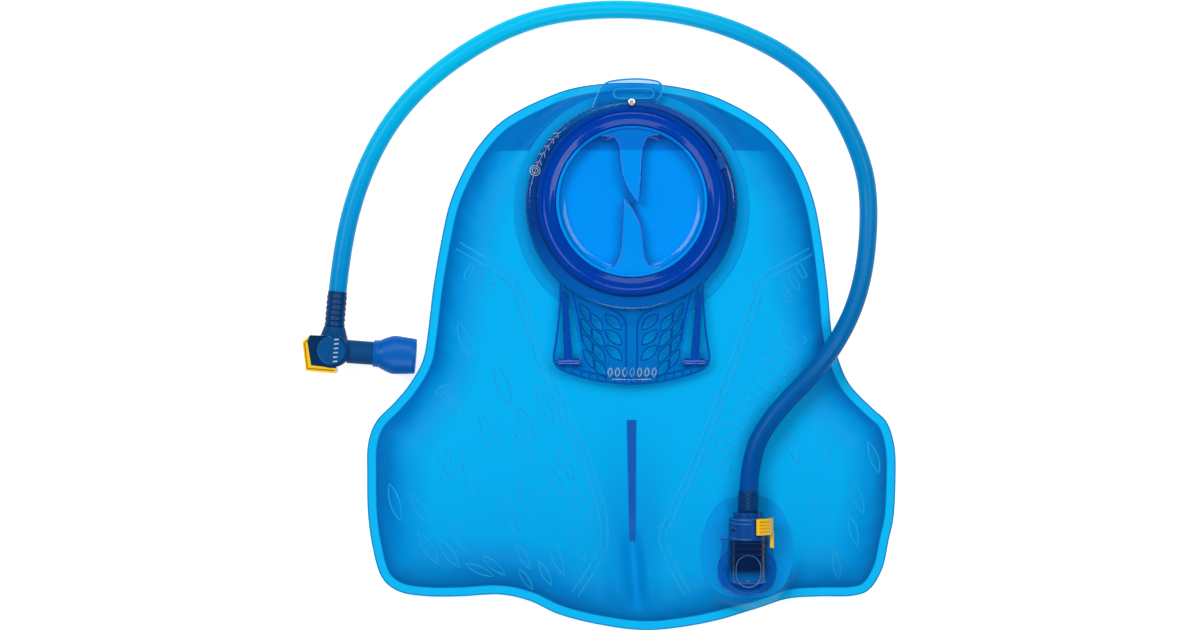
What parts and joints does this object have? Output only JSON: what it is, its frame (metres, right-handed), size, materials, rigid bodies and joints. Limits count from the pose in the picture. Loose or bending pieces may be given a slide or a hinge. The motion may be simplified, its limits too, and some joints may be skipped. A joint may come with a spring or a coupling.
{
  "type": "hydration bladder",
  "caption": "Welded film water bladder for a waist pack, with a screw fill cap, folding drying arms, a plug-in outlet and a drinking hose with a lockable bite valve.",
  "frame": {"origin": "on the flat of the back film, in the middle of the bag's length and width", "axes": "+Z out of the front film, through the fill port; +Y along the bag towards the fill port and the hang hook; +X across the bag towards the outlet"},
  "size_m": [0.3249, 0.3463, 0.0474],
  "materials": {
    "front_film": "translucent satin film",
    "back_film": "translucent satin film",
    "upper_panel": "translucent satin film",
    "baffle": "satin film",
    "port_base": "translucent gloss",
    "clear_collar": "clear tinted gloss",
    "pin_metal": "satin metal",
    "tether": "satin",
    "gasket": "satin",
    "cap_rim": "tinted gloss",
    "cap_dish": "clear tinted gloss",
    "drying_arm": "gloss",
    "outlet_patch": "translucent satin film",
    "outlet_housing": "gloss",
    "poppet": "satin",
    "seal_rubber": "satin",
    "spring_steel": "bright wire",
    "connector": "satin",
    "yellow_plastic": "satin",
    "drink_tube": "translucent satin",
    "elbow": "satin",
    "spool": "satin",
    "lever": "satin",
    "bite_valve": "soft satin"
  },
  "bodies": {
    "bag": {"back_film": "back_film", "front_film": "front_film", "upper_back_panel": "upper_panel", "centre_baffle": "baffle", "fill_port_base": "port_base", "port_collar": "clear_collar", "tether_pin": "pin_metal", "cap_tether": "tether", "outlet_patch": "outlet_patch", "outlet_housing": "outlet_housing", "poppet_spring": "spring_steel"},
    "poppet": {"outlet_poppet": "poppet", "poppet_seal": "seal_rubber"},
    "cap_seal": {"cap_gasket": "gasket", "tether_ring": "tether"},
    "cap": {"cap_rim": "cap_rim", "cap_dish": "cap_dish"},
    "drying_arm_left": {"drying_arm_left": "drying_arm"},
    "drying_arm_right": {"drying_arm_right": "drying_arm"},
    "hose_assembly": {"connector_body": "connector", "connector_o_ring": "seal_rubber", "button_spring": "spring_steel", "drink_tube": "drink_tube", "hose_barb": "elbow", "elbow_body": "elbow", "elbow_cover": "elbow", "bite_valve": "bite_valve"},
    "release_button": {"release_button": "yellow_plastic"},
    "lock_lever": {"valve_spool": "spool", "spool_ring_upper": "seal_rubber", "spool_ring_lower": "seal_rubber", "lever_arm": "lever", "lever_grip": "yellow_plastic"}
  },
  "joints": [
    {"name": "cap_lift", "type": "slide", "parent": "bag", "child": "cap_seal", "axis": [0, 0, 1], "range_m": [0, 0.025], "deforming": ["cap_tether"]},
    {"name": "cap_turn", "type": "hinge", "parent": "cap_seal", "child": "cap", "pos_m": [0, 0.0846, 0.034], "axis": [0, 0, 1], "range_deg": [0, 90]},
    {"name": "drying_arm_left_swing", "type": "hinge", "parent": "bag", "child": "drying_arm_left", "pos_m": [-0.0342, -0.0028, 0.028], "axis": [1, 0, 0], "range_deg": [0, 105]},
    {"name": "drying_arm_right_swing", "type": "hinge", "parent": "bag", "child": "drying_arm_right", "pos_m": [0.0342, -0.0028, 0.028], "axis": [1, 0, 0], "range_deg": [0, 105]},
    {"name": "hose_release", "type": "slide", "parent": "bag", "child": "hose_assembly", "axis": [0, 1, 0], "range_m": [0, 0.025]},
    {"name": "poppet_open", "type": "slide", "parent": "bag", "child": "poppet", "axis": [0, 1, 0], "range_m": [0, 0.0023], "deforming": ["poppet_spring"]},
    {"name": "release_button_press", "type": "slide", "parent": "hose_assembly", "child": "release_button", "axis": [-1, 0, 0], "range_m": [0, 0.0012], "stiffness_N_per_m": 400, "springref_m": -0.001, "deforming": ["button_spring"]},
    {"name": "lock_lever_turn", "type": "hinge", "parent": "hose_assembly", "child": "lock_lever", "pos_m": [-0.16402, 0.00343, 0.0095], "axis": [0, 0, 1], "range_deg": [-30, 30]}
  ],
  "couplings": [
    {"joint": "poppet_open", "follows": "hose_release", "ratio": 0.092}
  ]
}
